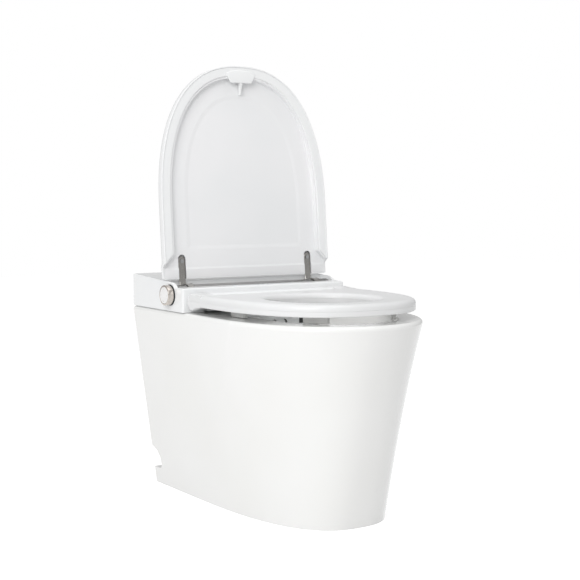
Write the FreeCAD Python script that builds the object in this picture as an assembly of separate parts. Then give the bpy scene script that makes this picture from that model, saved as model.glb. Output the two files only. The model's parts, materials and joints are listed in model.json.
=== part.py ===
"""Floor-standing bidet toilet: a skirted ceramic pan, an electric bidet seat unit let into its rear
deck, a heated seat ring and a lid on a full-width hinge tube.  Lid open, seat ring down.

Millimetres.  +Z up, -Y towards the user, the knob on the -X side.  The origin is on the floor, on
the centre plane, half way along the pan.
"""
import FreeCAD, Part
import math
import os

# ---- driving dimensions -----------------------------------------------------------------------
PAN_LENGTH = 646.0
PAN_WIDTH = 406.0
RIM_Z = 400.0
FOOT_WIDTH = 297.0
FOOT_FRONT = 240.0          # floor outline, from the origin to the front
RIM_CURVE_START = -55.0     # where the straight side ends and the round front begins
FOOT_CURVE_START = 134.0
RIM_SQUARENESS = 2.14       # superellipse exponents
FOOT_SQUARENESS = 2.7
RIM_ROUND = 8.0
CERAMIC_WALL = 12.0
DECK_THICKNESS = 14.0

BOWL_HALF_WIDTH = 130.0
BOWL_FRONT = -275.0
BOWL_REAR = 76.0
BOWL_SQUARENESS = 2.5
BOWL_SUMP_Z = 112.0
TRAP_BORE = 54.0
TRAP_WALL = 9.0
OUTLET_Y = 0.0              # roughing-in distance is half the pan's length
OUTLET_BORE = 90.0
NOTCH_DEPTH = 36.0          # bracket notch in the skirt's rear lower corners
NOTCH_BOTTOM = 36.0
NOTCH_TOP = 86.0
NOTCH_INNER_X = 112.0
SERVICE_WINDOW = (190.0, 110.0, 150.0)   # width, height, height of its lower edge

CAVITY_HALF_WIDTH = 150.0   # opening in the rear deck for the seat unit
CAVITY_FRONT = 106.0
CAVITY_REAR = 300.0
BAY_HALF_WIDTH = 96.0       # channel from the cavity to the bowl
BAY_FLOOR_Z = 352.0

HOUSING_FRONT = 96.0
HOUSING_TOP_REAR = 470.0
HOUSING_LEDGE_Z = 450.5
HOUSING_WALL = 3.0
PARTING_GAP = 0.6
CHEEK_WALL = 7.0
CHEEK_RADIUS = 26.0

HINGE_Y = 150.0
HINGE_Z = 434.0
TUBE_RADIUS = 20.0
TUBE_WALL = 2.5
TROUGH_GAP = 4.5
STUB_RADIUS = 8.0
STUB_BORE = 6.3
RUNNING_FIT = 0.05
LID_OPEN = 95.0
STRAP_X = 160.0
STRAP_WIDTH = 15.0
STRAP_THICKNESS = 2.5

LID_WIDTH = 415.0
LID_FRONT = -338.0
LID_REAR_OFFSET = 32.0
LID_RIM_Z = 441.0           # heights of the lid are with the lid closed
LID_TOP_Z = 467.0
LID_CURVE_START = -31.0
LID_SQUARENESS = 2.38
LID_WALL = 3.0
LID_BEVEL = 21.0
LID_BEVEL_DEPTH = 14.0
LID_TOP_ROUND = 14.0
LINER_THICKNESS = 2.5
LID_REAR_UNDERSIDE_Z = 453.5
SLOT_WIDTH = 18.0
SLOT_NEAR = 40.0            # from the hinge axis to the slot's two ends
SLOT_FAR = 84.0
GRIP_WIDTH = 76.0
GRIP_DEPTH = 22.0

SEAT_WIDTH = 390.0
SEAT_FRONT = -291.0
SEAT_CURVE_START = -5.0
SEAT_SQUARENESS = 2.5
SEAT_BOTTOM_Z = 415.0
SEAT_THICKNESS = 24.0
SEAT_SPLIT_Z = 426.0
SEAT_WALL = 3.0
SEAT_EDGE_ROUND = 8.0
SEAT_HOLE_HALF_WIDTH = 112.0
SEAT_HOLE_FRONT = -222.0
SEAT_HOLE_REAR = 0.0
SEAT_HINGE_Y = 76.0
SEAT_HINGE_Z = 424.0
EAR_RADIUS = 17.5
EAR_INNER_X = 157.0
BARREL_RADIUS = 16.5
BARREL_HALF_LENGTH = 154.0
BRIDGE_GAP = 22.0           # from the seat hinge axis to the ring's rear edge
PIN_RADIUS = 6.0
SEAT_PIN_INNER_X = 128.0
BUMPER_CLEARANCE = 0.3

KNOB_RADIUS = 21.0
KNOB_CAP_RADIUS = 17.4
KNOB_DEPTH = 13.0
KNOB_SPINDLE_RADIUS = 5.9
KNOB_PRESS = 2.5
KNOB_STEM_RADIUS = 2.5
KNOB_GAP = 2.0              # from the cheek to the dial's back
SPINDLE_LENGTH = 11.5

FLANGE_THICKNESS = 3.0
GASKET_THICKNESS = 1.0
TUB_CLEARANCE = 4.0
TUB_FLOOR_Z = 338.0
TUB_WALL = 3.0
NOZZLE_RADIUS = 6.0
NOZZLE_SLOPE = 10.0
NOZZLE_TIP = (50.0, 374.0)
NOZZLE_LENGTH = 190.0
NOZZLE_X = 13.0
NOZZLE_WALL = 1.2
BOLT_RADIUS = 3.0
BOLT_X = 170.0
INLET_RADIUS = 10.4775      # G 1/2 thread, major radius
THREAD_LENGTH = 16.0
SHOULDER_RADIUS = 13.0
SHOULDER_DEPTH = 4.0
FLOOR_HOLE_RADIUS = 9.0

BRACKET_GAP = 0.3
SCREW_RADIUS = 1.5
SCREW_LENGTH = 20.0
SCREW_X = 190.0
MOUTH_REAR = 29.0           # from the hinge axis to the back of the trough's mouth
MOUTH_SILL = 9.0
LID_REAR_TOP_Z = 463.0
LINER_GAP = 0.8
TONGUE_RECESS = 1.0
GRIP_SETBACK = 14.0
BUMPER_X = 152.0
BUMPER_LENGTH = 52.0
BUMPER_WIDTH = 11.0
BUMPER_MID_Y = -42.0
BUMPER_FRONT = (92.0, -222.0, 38.0)      # place, and the turn that follows the ring's curve
BOARD_Z = 446.0
BOARD_THICKNESS = 1.6
BOARD_HALF_WIDTH = 120.0
BOARD_FRONT = 200.0
BOARD_REAR = 300.0
NOSE_STEP_X = 30.0
DRYER_X = -64.0
DRYER_WIDTH = 34.0
DRYER_BOTTOM_Z = 366.0
DRYER_TOP_Z = 390.0
INTAKE_X = 66.0
INLET_X = -118.0
GLAND_X = 118.0
INLET_Y = 276.0
BLOWER_X = 98.0
BLOWER_Y = 214.0
BLOWER_RADIUS = 34.0
BLOWER_HEIGHT = 34.0

# ---- derived values ---------------------------------------------------------------------------
REAR_Y = PAN_LENGTH / 2
FRONT_Y = -PAN_LENGTH / 2
HALF_WIDTH = PAN_WIDTH / 2
HOUSING_BOTTOM_Z = RIM_Z + PARTING_GAP
TROUGH_RADIUS = TUBE_RADIUS + TROUGH_GAP
TROUGH_HALF_LENGTH = HALF_WIDTH - CHEEK_WALL
TUBE_HALF_LENGTH = TROUGH_HALF_LENGTH - 4.0
LID_REAR_Y = HINGE_Y - LID_REAR_OFFSET
LID_FIELD_Z = LID_RIM_Z + LID_BEVEL_DEPTH
SEAT_TOP_Z = SEAT_BOTTOM_Z + SEAT_THICKNESS
SEAT_REAR_Y = SEAT_HINGE_Y - BRIDGE_GAP
FLANGE_BOTTOM_Z = RIM_Z + GASKET_THICKNESS
FLANGE_TOP_Z = FLANGE_BOTTOM_Z + FLANGE_THICKNESS
TUB_HALF_WIDTH = CAVITY_HALF_WIDTH - TUB_CLEARANCE
TUB_FRONT = CAVITY_FRONT + TUB_CLEARANCE
TUB_REAR = CAVITY_REAR - TUB_CLEARANCE
TUB_INSIDE_Z = TUB_FLOOR_Z + TUB_WALL
BAY_NOSE_HALF_WIDTH = BAY_HALF_WIDTH - TUB_CLEARANCE
BAY_NOSE_FRONT = 46.0
BAY_NOSE_FLOOR_Z = BAY_FLOOR_Z + TUB_CLEARANCE

BLOWER_Z = TUB_INSIDE_Z + 8.0
BOLT_ROWS = (CAVITY_FRONT + 12, CAVITY_REAR - 12)
BARREL_NECK_TOP_Z = SEAT_HINGE_Z + 8.0
SCREW_Y = REAR_Y - 22.0

V = FreeCAD.Vector
AXIS_X = V(1, 0, 0)
AXIS_Z = V(0, 0, 1)


# ---- small helpers ----------------------------------------------------------------------------
def box(x0, x1, y0, y1, z0, z1):
    return Part.makeBox(x1 - x0, y1 - y0, z1 - z0, V(x0, y0, z0))


def rod_x(radius, x0, x1, y, z):
    return Part.makeCylinder(radius, x1 - x0, V(x0, y, z), AXIS_X)


def rod_z(radius, x, y, z0, z1):
    return Part.makeCylinder(radius, z1 - z0, V(x, y, z0), AXIS_Z)


def tube_z(outer, inner, x, y, z0, z1):
    return rod_z(outer, x, y, z0, z1).cut(rod_z(inner, x, y, z0, z1))


def join(shapes):
    result = shapes[0]
    for shape in shapes[1:]:
        result = result.fuse(shape)
    return result.removeSplitter()


def mirrored(shape):
    return shape.mirror(V(0, 0, 0), AXIS_X)


def both_sides(shape):
    return Part.makeCompound([shape, mirrored(shape)])


def both_sides_list(shapes):
    return Part.makeCompound([each for shape in shapes for each in (shape, mirrored(shape))])


def profile_x(points, x0, x1):
    """A prism along X from (y, z) corners."""
    wire = Part.makePolygon([V(x0, y, z) for y, z in points + points[:1]])
    return Part.Face(wire).extrude(V(x1 - x0, 0, 0))


def fillet_where(shape, radius, wanted):
    edges = [edge for edge in shape.Edges if wanted(edge)]
    return shape.makeFillet(radius, edges) if edges else shape


def flat_at(z):
    """True for an edge that lies wholly at height z."""
    return lambda edge: abs(edge.BoundBox.ZMin - z) < 0.01 and abs(edge.BoundBox.ZMax - z) < 0.01


def quarter(half_width, length, squareness, count=12):
    """Points of one superellipse quarter, from its side to its end."""
    angles = [math.pi / 2 * i / count for i in range(count + 1)]
    return [(half_width * math.cos(a) ** (2 / squareness), length * math.sin(a) ** (2 / squareness))
            for a in angles[:-1]] + [(0.0, length)]


def d_wire(half_width, rear, start, front, squareness, z):
    """Flat back, straight sides and a superellipse front."""
    side = quarter(half_width, start - front, squareness)
    points = [V(x, start - y, z) for x, y in side]
    points += [V(-x, start - y, z) for x, y in reversed(side[:-1])]
    curve = Part.BSplineCurve()
    curve.interpolate(Points=points, InitialTangent=V(0, -1, 0), FinalTangent=V(0, 1, 0))
    left, right = V(-half_width, rear, z), V(half_width, rear, z)
    edges = [Part.LineSegment(right, points[0]).toShape(), curve.toShape(),
             Part.LineSegment(points[-1], left).toShape(), Part.LineSegment(left, right).toShape()]
    return Part.Wire(edges)


def oval_wire(half_width, front, rear, squareness, z):
    middle = (front + rear) / 2
    side = quarter(half_width, (rear - front) / 2, squareness)
    points = [V(x, middle - y, z) for x, y in side]
    points += [V(-x, middle - y, z) for x, y in reversed(side[:-1])]
    points += [V(-x, middle + y, z) for x, y in side[1:]]
    points += [V(x, middle + y, z) for x, y in reversed(side[1:-1])]
    curve = Part.BSplineCurve()
    curve.interpolate(Points=points, PeriodicFlag=True)
    return Part.Wire([curve.toShape()])


def prism(wire, height):
    return Part.Face(wire).extrude(V(0, 0, height))


def open_lid(shape, angle=LID_OPEN):
    """Turn a piece modelled on the closed lid to its rest place."""
    turned = shape.copy()
    turned.rotate(V(0, HINGE_Y, HINGE_Z), AXIS_X, -angle)
    return turned


def save(name, shape):
    solids = shape.Solids
    assert solids and all(solid.isValid() for solid in solids), name
    result = solids[0] if len(solids) == 1 else Part.makeCompound(solids)
    result.exportStep("parts/" + name + ".step")
    print(name, len(solids), round(sum(s.Volume for s in solids) / 1000, 1), "cm3")


# ---- ceramic pan ------------------------------------------------------------------------------
def rim_wire(z, inset=0.0):
    return d_wire(HALF_WIDTH - inset, REAR_Y - inset, RIM_CURVE_START, FRONT_Y + inset,
                  RIM_SQUARENESS, z)


def foot_wire(inset=0.0):
    return d_wire(FOOT_WIDTH / 2 - inset, REAR_Y - inset, FOOT_CURVE_START, inset - FOOT_FRONT,
                  FOOT_SQUARENESS, 0)


def bowl(grow, sump_z):
    """The bowl's inside, or with a wall's thickness added, its outside."""
    levels = [(RIM_Z, 1.0, BOWL_FRONT, BOWL_REAR),
              (RIM_Z - 50, 0.94, BOWL_FRONT + 12, BOWL_REAR - 12),
              (RIM_Z - 160, 0.66, BOWL_FRONT + 68, BOWL_REAR - 52),
              (sump_z, 0.34, BOWL_FRONT + 130, BOWL_REAR - 96)]
    wires = [oval_wire(BOWL_HALF_WIDTH * width + grow, front - grow, rear + grow,
                       BOWL_SQUARENESS, z) for z, width, front, rear in levels]
    return Part.makeLoft(wires, True, False)


def pipe(points, radius):
    """Straight runs with round elbows, in the centre plane."""
    runs = []
    for (y0, z0), (y1, z1) in zip(points, points[1:]):
        start, run = V(0, y0, z0), V(0, y1 - y0, z1 - z0)
        runs.append(Part.makeCylinder(radius, run.Length, start, run))
    elbows = [Part.makeSphere(radius, V(0, y, z)) for y, z in points[1:-1]]
    return join(runs + elbows)


def ceramic_pan():
    outer = Part.makeLoft([foot_wire(), rim_wire(RIM_Z)], True, True)
    outer = fillet_where(outer, RIM_ROUND, flat_at(RIM_Z))
    hollow = Part.makeLoft([foot_wire(CERAMIC_WALL), rim_wire(RIM_Z, CERAMIC_WALL)], True, True)
    hollow = hollow.common(box(-HALF_WIDTH, HALF_WIDTH, FRONT_Y, REAR_Y, 0, RIM_Z - DECK_THICKNESS))
    weir = (OUTLET_Y + 42, BOWL_SUMP_Z + 108)
    route = [(-110, BOWL_SUMP_Z + 24), (weir[0] - 16, weir[1]), (OUTLET_Y + 72, weir[1] - 40),
             (OUTLET_Y, 66), (OUTLET_Y, 0)]
    trap = pipe(route, TRAP_BORE / 2 + TRAP_WALL)
    spigot = rod_z(OUTLET_BORE / 2 + TRAP_WALL, 0, OUTLET_Y, 0, 58)
    sump_outer = BOWL_SUMP_Z - CERAMIC_WALL
    shell = join([outer.cut(hollow), bowl(CERAMIC_WALL, sump_outer).common(outer), trap, spigot])
    shell = shell.cut(bowl(0, BOWL_SUMP_Z)).cut(pipe(route, TRAP_BORE / 2))
    shell = shell.cut(rod_z(OUTLET_BORE / 2, 0, OUTLET_Y, 0, 48))
    above = RIM_Z + 1
    shell = shell.cut(box(-CAVITY_HALF_WIDTH, CAVITY_HALF_WIDTH, CAVITY_FRONT, CAVITY_REAR,
                          RIM_Z - DECK_THICKNESS - 1, above))
    shell = shell.cut(box(-BAY_HALF_WIDTH, BAY_HALF_WIDTH, SEAT_HOLE_REAR + 30, CAVITY_FRONT + 1,
                          BAY_FLOOR_Z, above))
    width, height, sill = SERVICE_WINDOW
    shell = shell.cut(box(-width / 2, width / 2, REAR_Y - 2 * CERAMIC_WALL, REAR_Y + 1,
                          sill, sill + height))
    notch = profile_x([(REAR_Y + 1, NOTCH_BOTTOM), (REAR_Y - NOTCH_DEPTH + 8, NOTCH_BOTTOM),
                       (REAR_Y - NOTCH_DEPTH, NOTCH_BOTTOM + 8),
                       (REAR_Y - NOTCH_DEPTH + 3, NOTCH_BOTTOM + 26),
                       (REAR_Y - NOTCH_DEPTH + 14, NOTCH_TOP - 10),
                       (REAR_Y + 1, NOTCH_TOP)], NOTCH_INNER_X, HALF_WIDTH)
    shell = shell.cut(both_sides(notch))
    for x in (-BOLT_X, BOLT_X):
        for y in BOLT_ROWS:
            shell = shell.cut(rod_z(BOLT_RADIUS + 0.6, x, y, RIM_Z - DECK_THICKNESS - 1, above))
    return shell



def outlet_seal():
    """Wax-free rubber ring squeezed between the floor flange and the outlet."""
    inner = OUTLET_BORE / 2 + TRAP_WALL
    return tube_z(inner + 12, inner, 0, OUTLET_Y, 0, 22)


def floor_brackets():
    """Angles screwed to the floor inside the skirt, behind the notches."""
    x = FOOT_WIDTH / 2 - CERAMIC_WALL - BRACKET_GAP
    foot = box(x - 34, x, REAR_Y - 64, REAR_Y - 38, 0, 4)
    upright = box(x - 4, x, REAR_Y - 64, REAR_Y - 38, 0, 46)
    hole = rod_z(BOLT_RADIUS + 0.5, x - 20, REAR_Y - 51, -1, 5)
    return both_sides(join([foot, upright]).cut(hole))


# ---- seat unit: tub, gasket, fixings ----------------------------------------------------------
def deck_gasket():
    edge = HOUSING_WALL + 6
    plate = box(-HALF_WIDTH + edge, HALF_WIDTH - edge, CAVITY_FRONT, REAR_Y - edge,
                RIM_Z, FLANGE_BOTTOM_Z)
    opening = box(-CAVITY_HALF_WIDTH, CAVITY_HALF_WIDTH, CAVITY_FRONT - 1, CAVITY_REAR,
                  RIM_Z - 1, RIM_Z + 2)
    holes = [rod_z(BOLT_RADIUS + 0.6, x, y, RIM_Z - 1, RIM_Z + 2)
             for x in (-BOLT_X, BOLT_X) for y in BOLT_ROWS]
    return plate.cut(opening).cut(Part.makeCompound(holes))


def base_tub():
    """The seat unit's chassis: a flange on the deck, a tub in the cavity, a nose over the bowl."""
    edge = HOUSING_WALL + 1
    flange = box(-HALF_WIDTH + edge, HALF_WIDTH - edge, CAVITY_FRONT, REAR_Y - edge,
                 FLANGE_BOTTOM_Z, FLANGE_TOP_Z)
    tub = box(-TUB_HALF_WIDTH, TUB_HALF_WIDTH, TUB_FRONT, TUB_REAR, TUB_FLOOR_Z, FLANGE_TOP_Z)
    nose = box(-BAY_NOSE_HALF_WIDTH, BAY_NOSE_HALF_WIDTH, BAY_NOSE_FRONT, TUB_FRONT + TUB_WALL,
               BAY_NOSE_FLOOR_Z, FLANGE_TOP_Z)
    chin = box(-NOSE_STEP_X, NOSE_STEP_X, BAY_NOSE_FRONT + 2, BAY_NOSE_FRONT + 12,
               BAY_NOSE_FLOOR_Z - 8, BAY_NOSE_FLOOR_Z + 1)
    solid = join([flange, tub, nose, chin])
    inside_tub = box(TUB_WALL - TUB_HALF_WIDTH, TUB_HALF_WIDTH - TUB_WALL, TUB_FRONT + TUB_WALL,
                     TUB_REAR - TUB_WALL, TUB_INSIDE_Z, FLANGE_TOP_Z + 1)
    inside_nose = box(TUB_WALL - BAY_NOSE_HALF_WIDTH, BAY_NOSE_HALF_WIDTH - TUB_WALL,
                      BAY_NOSE_FRONT + TUB_WALL, TUB_FRONT + TUB_WALL + 1,
                      BAY_NOSE_FLOOR_Z + TUB_WALL, FLANGE_BOTTOM_Z)
    solid = solid.cut(inside_tub).cut(inside_nose).cut(screw_holes())
    for x in (-NOZZLE_X, NOZZLE_X):
        solid = solid.cut(nozzle_rod(x, NOZZLE_RADIUS + 1.5, -30, NOZZLE_LENGTH + 20)
                          .common(box(-60, 60, 0, TUB_FRONT + TUB_WALL + 1, 300, FLANGE_BOTTOM_Z)))
    solid = solid.cut(box(DRYER_X - DRYER_WIDTH / 2, DRYER_X + DRYER_WIDTH / 2, 0,
                          BAY_NOSE_FRONT + TUB_WALL + 1, DRYER_BOTTOM_Z, DRYER_TOP_Z))
    solid = solid.cut(box(INTAKE_X - 16, INTAKE_X + 16, 0, BAY_NOSE_FRONT + TUB_WALL + 1,
                          DRYER_BOTTOM_Z + 4, DRYER_TOP_Z - 4))
    for x in (-BOLT_X, BOLT_X):
        for y in BOLT_ROWS:
            solid = solid.cut(rod_z(BOLT_RADIUS + 0.3, x, y, RIM_Z, FLANGE_TOP_Z + 1))
    for x in (INLET_X, GLAND_X):
        solid = solid.cut(rod_z(FLOOR_HOLE_RADIUS, x, INLET_Y, TUB_FLOOR_Z - 1, TUB_INSIDE_Z + 1))
    return solid



def flange_bolts():
    bolts = []
    for x in (-BOLT_X, BOLT_X):
        for y in BOLT_ROWS:
            bolts.append(join([rod_z(BOLT_RADIUS, x, y, RIM_Z - DECK_THICKNESS - 14, FLANGE_TOP_Z + 1),
                               rod_z(BOLT_RADIUS * 2, x, y, FLANGE_TOP_Z, FLANGE_TOP_Z + 4)]))
    return Part.makeCompound(bolts)


def flange_nuts():
    under = RIM_Z - DECK_THICKNESS
    return Part.makeCompound([tube_z(9, BOLT_RADIUS, x, y, under - 9, under)
                              for x in (-BOLT_X, BOLT_X) for y in BOLT_ROWS])


# ---- housing ----------------------------------------------------------------------------------
def housing_profile(inset, bottom):
    """Side view: top line from the rear to the cheek's arc, down its front to the ledge."""
    radius = CHEEK_RADIUS - inset
    rear, top_rear = REAR_Y - inset, HOUSING_TOP_REAR - inset
    ledge = HOUSING_LEDGE_Z - inset
    front = HOUSING_FRONT + inset
    top = V(0, HINGE_Y, HINGE_Z + radius)
    foot_dy = math.sqrt(radius ** 2 - (ledge - HINGE_Z) ** 2)
    foot = V(0, HINGE_Y - foot_dy, ledge)
    middle_angle = math.radians(90 + 0.5 * math.degrees(math.atan2(foot_dy, ledge - HINGE_Z)))
    middle = V(0, HINGE_Y + radius * math.cos(middle_angle), HINGE_Z + radius * math.sin(middle_angle))
    corners = [V(0, front, ledge), V(0, front, bottom), V(0, rear, bottom), V(0, rear, top_rear), top]
    edges = [Part.Arc(top, middle, foot).toShape(), Part.LineSegment(foot, corners[0]).toShape()]
    edges += [Part.LineSegment(a, b).toShape() for a, b in zip(corners, corners[1:])]
    return Part.Face(Part.Wire(edges))


def rear_housing():
    outside = housing_profile(0, HOUSING_BOTTOM_Z)
    outside.translate(V(-HALF_WIDTH, 0, 0))
    block = outside.extrude(V(PAN_WIDTH, 0, 0))
    block = fillet_where(block, 3.0, lambda e: e.BoundBox.XLength < 0.01 and
                         abs(abs(e.BoundBox.XMin) - HALF_WIDTH) < 0.01 and
                         e.BoundBox.ZMin > HOUSING_LEDGE_Z - 1)
    block = fillet_where(block, 4.0, lambda e: e.BoundBox.XLength > 300 and
                         e.BoundBox.ZMin > HOUSING_LEDGE_Z - 6 and
                         (abs(e.BoundBox.YMin - HOUSING_FRONT) < 4.5 or
                          abs(e.BoundBox.YMax - REAR_Y) < 4.5))
    inside = housing_profile(HOUSING_WALL, HOUSING_BOTTOM_Z - 1)
    inside.translate(V(-HALF_WIDTH + HOUSING_WALL, 0, 0))
    hollow = inside.extrude(V(PAN_WIDTH - 2 * HOUSING_WALL, 0, 0))
    wall = HOUSING_WALL
    trough_wall = join([rod_x(TROUGH_RADIUS + wall, -HALF_WIDTH, HALF_WIDTH, HINGE_Y, HINGE_Z),
                        box(-HALF_WIDTH, HALF_WIDTH, HINGE_Y, HINGE_Y + MOUTH_REAR + wall,
                            HINGE_Z + MOUTH_SILL - wall, HOUSING_TOP_REAR)])
    room = hollow.cut(trough_wall).cut(housing_posts())
    shell = block.cut(room)
    shell = shell.cut(rod_x(TROUGH_RADIUS, -TROUGH_HALF_LENGTH, TROUGH_HALF_LENGTH, HINGE_Y, HINGE_Z))
    mouth = box(-TROUGH_HALF_LENGTH, TROUGH_HALF_LENGTH, HINGE_Y - TROUGH_RADIUS + 4,
                HINGE_Y + MOUTH_REAR, HINGE_Z + MOUTH_SILL, HOUSING_TOP_REAR + 5)
    shell = shell.cut(mouth)
    shell = shell.cut(rod_x(KNOB_SPINDLE_RADIUS + RUNNING_FIT, -HALF_WIDTH - 1,
                            -TROUGH_HALF_LENGTH + 1, HINGE_Y, HINGE_Z))
    shell = shell.cut(box(-BARREL_HALF_LENGTH, BARREL_HALF_LENGTH, HOUSING_FRONT - 1,
                          HOUSING_FRONT + HOUSING_WALL + 1, RIM_Z, BARREL_NECK_TOP_Z))
    return shell.cut(screw_holes())


def housing_posts():
    """Screw bosses down to the flange, and rods that carry the control board."""
    top = HOUSING_TOP_REAR
    posts = [rod_z(SCREW_RADIUS * 3, SCREW_X, SCREW_Y, FLANGE_TOP_Z, top)]
    posts += [rod_z(3, BOARD_HALF_WIDTH - 6, y, BOARD_Z + BOARD_THICKNESS, top)
              for y in (BOARD_FRONT + 6, BOARD_REAR - 6)]
    return both_sides_list(posts)


def screw_holes():
    return both_sides(rod_z(SCREW_RADIUS, SCREW_X, SCREW_Y, RIM_Z, FLANGE_TOP_Z + SCREW_LENGTH))


def housing_screws():
    """Screws up through the flange into the housing's rear bosses."""
    return both_sides(rod_z(SCREW_RADIUS, SCREW_X, SCREW_Y, FLANGE_BOTTOM_Z,
                            FLANGE_TOP_Z + SCREW_LENGTH))


def front_panel():
    """Display strip let into the housing's front ledge, behind the seat ring."""
    return box(-70, 70, HOUSING_FRONT + 8, HOUSING_FRONT + 20, HOUSING_LEDGE_Z, HOUSING_LEDGE_Z + 0.8)


def indicator_lenses():
    lenses = [rod_z(1.6, x, HOUSING_FRONT + 14, HOUSING_LEDGE_Z + 0.8, HOUSING_LEDGE_Z + 1.4)
              for x in (-12, 0, 12)]
    return Part.makeCompound(lenses)


# ---- seat hinge -------------------------------------------------------------------------------
def seat_hinge_barrel():
    """Fixed barrel across the housing's front; the ring's pins turn in its two ends."""
    barrel = rod_x(BARREL_RADIUS, -BARREL_HALF_LENGTH, BARREL_HALF_LENGTH, SEAT_HINGE_Y, SEAT_HINGE_Z)
    neck = box(-BARREL_HALF_LENGTH + 1, BARREL_HALF_LENGTH - 1, SEAT_HINGE_Y, CAVITY_FRONT + 8,
               FLANGE_TOP_Z, BARREL_NECK_TOP_Z - 1)
    solid = join([barrel, neck])
    core = rod_x(BARREL_RADIUS - 4, -SEAT_PIN_INNER_X + 8, SEAT_PIN_INNER_X - 8,
                 SEAT_HINGE_Y, SEAT_HINGE_Z)
    bore = rod_x(PIN_RADIUS + RUNNING_FIT, SEAT_PIN_INNER_X - 9, BARREL_HALF_LENGTH + 1,
                 SEAT_HINGE_Y, SEAT_HINGE_Z)
    return solid.cut(core).cut(both_sides(bore))


def seat_drive():
    """Damped gear motor in the barrel."""
    return rod_x(BARREL_RADIUS - 4, -SEAT_PIN_INNER_X + 8, -SEAT_PIN_INNER_X + 88,
                 SEAT_HINGE_Y, SEAT_HINGE_Z)


def seat_hinge_pins():
    return both_sides(rod_x(PIN_RADIUS, SEAT_PIN_INNER_X, SEAT_WIDTH / 2 - 6,
                            SEAT_HINGE_Y, SEAT_HINGE_Z))


# ---- seat ring --------------------------------------------------------------------------------
def ring_block(z0, z1, inset=0.0):
    """The ring's plan between two heights: D outline, oval hole, rear cut back between the ears."""
    half = SEAT_WIDTH / 2 - inset
    outer = prism(d_wire(half, SEAT_HINGE_Y, SEAT_CURVE_START, SEAT_FRONT + inset,
                         SEAT_SQUARENESS, z0), z1 - z0)
    hole = prism(oval_wire(SEAT_HOLE_HALF_WIDTH + inset, SEAT_HOLE_FRONT - inset,
                           SEAT_HOLE_REAR + inset, 2.2, z0 - 1), z1 - z0 + 2)
    rear = box(-EAR_INNER_X - inset, EAR_INNER_X + inset, SEAT_REAR_Y - inset, SEAT_HINGE_Y + 1,
               z0 - 1, z1 + 1)
    return outer.cut(hole).cut(rear)


def ears(radius, inset):
    return both_sides(rod_x(radius, EAR_INNER_X + inset, SEAT_WIDTH / 2 - inset,
                            SEAT_HINGE_Y, SEAT_HINGE_Z))


def ring_edge_at(z):
    """Outline edges at a height, apart from the straight ones at the ears and the rear."""
    return lambda e: flat_at(z)(e) and e.BoundBox.YMin < SEAT_CURVE_START + 1


def seat_top_shell():
    block = ring_block(SEAT_SPLIT_Z, SEAT_TOP_Z)
    block = fillet_where(block, SEAT_EDGE_ROUND, ring_edge_at(SEAT_TOP_Z))
    hollow = ring_block(SEAT_SPLIT_Z - 1, SEAT_TOP_Z - SEAT_WALL, SEAT_EDGE_ROUND)
    ear_space = box(-400, 400, SEAT_HINGE_Y - EAR_RADIUS - 1, 400, SEAT_SPLIT_Z - 1, 600)
    shell = block.cut(hollow.cut(ear_space)).cut(ears(EAR_RADIUS, 0))
    caps = join([ears(EAR_RADIUS, 0)]).common(box(-400, 400, 0, 400, SEAT_SPLIT_Z, 600))
    shell = join([shell, caps])
    return shell.cut(both_sides(seat_pin_hole())).cut(box(-400, 400, SEAT_HINGE_Y + EAR_RADIUS, 400, 0, 600))


def seat_pin_hole():
    return rod_x(PIN_RADIUS, EAR_INNER_X - 1, SEAT_WIDTH / 2 - 6, SEAT_HINGE_Y, SEAT_HINGE_Z)


def seat_bottom_shell():
    block = ring_block(SEAT_BOTTOM_Z, SEAT_SPLIT_Z)
    block = fillet_where(block, 5.0, ring_edge_at(SEAT_BOTTOM_Z))
    hollow = ring_block(SEAT_BOTTOM_Z + SEAT_WALL, SEAT_SPLIT_Z + 1, SEAT_EDGE_ROUND)
    ear_space = box(-400, 400, SEAT_HINGE_Y - EAR_RADIUS - 1, 400, 0, 600)
    shell = block.cut(hollow.cut(ear_space))
    cups = join([ears(EAR_RADIUS, 0)]).common(box(-400, 400, 0, 400, 0, SEAT_SPLIT_Z))
    shell = join([shell, cups]).cut(both_sides(seat_pin_hole()))
    return shell


def seat_heater():
    """Foil heater stuck under the ring's upper skin."""
    top = SEAT_TOP_Z - SEAT_WALL
    film = ring_block(top - 0.6, top, SEAT_EDGE_ROUND + 4)
    return film.cut(box(-400, 400, SEAT_HINGE_Y - EAR_RADIUS - 6, 400, 0, 600))


def bumper(x, y, turn):
    """A long pad with round ends."""
    z0, z1 = RIM_Z + BUMPER_CLEARANCE, SEAT_BOTTOM_Z
    reach = (BUMPER_LENGTH - BUMPER_WIDTH) / 2
    pad = join([box(-BUMPER_WIDTH / 2, BUMPER_WIDTH / 2, -reach, reach, z0, z1),
                rod_z(BUMPER_WIDTH / 2, 0, reach, z0, z1),
                rod_z(BUMPER_WIDTH / 2, 0, -reach, z0, z1)])
    pad = fillet_where(pad, 3.0, flat_at(z0))
    pad.rotate(V(0, 0, 0), AXIS_Z, turn)
    pad.translate(V(x, y, 0))
    return pad


def seat_bumpers():
    x, y, turn = BUMPER_FRONT
    pads = [both_sides(bumper(BUMPER_X, BUMPER_MID_Y, 0)), both_sides(bumper(x, y, -turn))]
    return Part.makeCompound([solid for pad in pads for solid in pad.Solids])


# ---- lid: tube, straps, shell -----------------------------------------------------------------
def hinge_tube():
    """Chromed cover tube that turns with the lid, closed by a bearing disc at each end."""
    length = TUBE_HALF_LENGTH
    tube = rod_x(TUBE_RADIUS, -length, length, HINGE_Y, HINGE_Z)
    bore = rod_x(TUBE_RADIUS - TUBE_WALL, -length + 6, length - 6, HINGE_Y, HINGE_Z)
    ends = rod_x(STUB_RADIUS + RUNNING_FIT, -length - 1, length + 1, HINGE_Y, HINGE_Z)
    return tube.cut(bore).cut(ends)


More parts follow.
